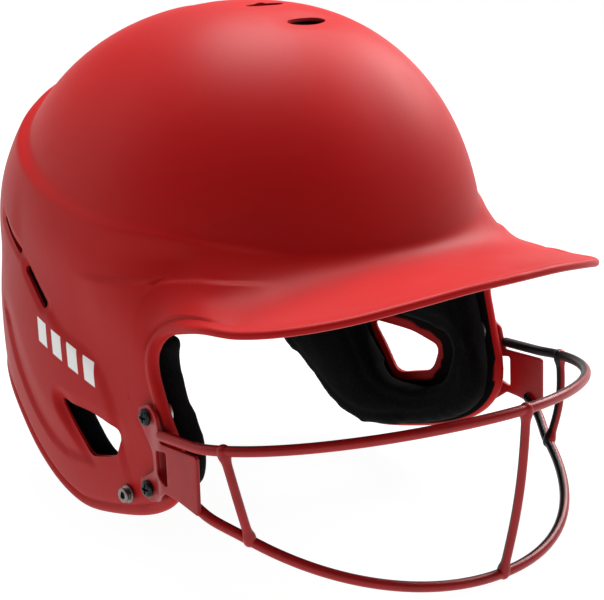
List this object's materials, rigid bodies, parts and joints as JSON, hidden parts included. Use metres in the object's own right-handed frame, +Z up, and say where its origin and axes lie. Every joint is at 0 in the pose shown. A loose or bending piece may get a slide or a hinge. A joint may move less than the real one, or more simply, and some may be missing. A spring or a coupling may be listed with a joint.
{
  "type": "batting helmet",
  "caption": "Softball batting helmet: red one-piece shell with visor and ear flaps, black padded liner, and a wire face guard bolted on through side plates.",
  "frame": {"origin": "centre of the wearer's head at brow level, on the plane of symmetry", "axes": "+Z up, the helmet faces -Y, the wearer's right is -X"},
  "size_m": [0.2098, 0.2966, 0.2229],
  "materials": {
    "shell_plastic": "matte red moulded ABS with a soft sheen and a fine orange-peel grain",
    "liner_foam": "black brushed nylon over closed-cell foam",
    "guard_wire": "red powder coat outside, black dipped coat on the inner side",
    "guard_plate": "red powder coat on pressed steel sheet",
    "black_screw": "black oxide with a light shine",
    "zinc_nut": "bright zinc plate",
    "nickel_stud": "nickel plate, slightly worn"
  },
  "bodies": {
    "helmet": {"shell": "shell_plastic", "front_pad": "liner_foam", "crown_pad": "liner_foam", "rear_pad": "liner_foam", "right_side_pad": "liner_foam", "left_side_pad": "liner_foam", "right_ear_pad": "liner_foam", "left_ear_pad": "liner_foam", "upper_wire": "guard_wire", "lower_wire": "guard_wire", "right_upright": "guard_wire", "centre_upright": "guard_wire", "left_upright": "guard_wire", "right_side_plate": "guard_plate", "left_side_plate": "guard_plate", "right_upper_nut": "zinc_nut", "right_lower_nut": "zinc_nut", "left_upper_nut": "zinc_nut", "left_lower_nut": "zinc_nut", "right_snap_stud": "nickel_stud", "left_snap_stud": "nickel_stud", "right_stud_washer": "zinc_nut", "left_stud_washer": "zinc_nut"},
    "right_upper_screw": {"right_upper_screw": "black_screw"},
    "right_lower_screw": {"right_lower_screw": "black_screw"},
    "left_upper_screw": {"left_upper_screw": "black_screw"},
    "left_lower_screw": {"left_lower_screw": "black_screw"}
  },
  "joints": [
    {"name": "right_upper_screw_turn", "type": "hinge", "parent": "helmet", "child": "right_upper_screw", "pos_m": [-0.1, -0.0575, -0.0345], "axis": [-1, 0, 0], "continuous": true},
    {"name": "right_lower_screw_turn", "type": "hinge", "parent": "helmet", "child": "right_lower_screw", "pos_m": [-0.1, -0.0535, -0.067], "axis": [-1, 0, 0], "continuous": true},
    {"name": "left_upper_screw_turn", "type": "hinge", "parent": "helmet", "child": "left_upper_screw", "pos_m": [0.1, -0.0575, -0.0345], "axis": [1, 0, 0], "continuous": true},
    {"name": "left_lower_screw_turn", "type": "hinge", "parent": "helmet", "child": "left_lower_screw", "pos_m": [0.1, -0.0535, -0.067], "axis": [1, 0, 0], "continuous": true}
  ]
}
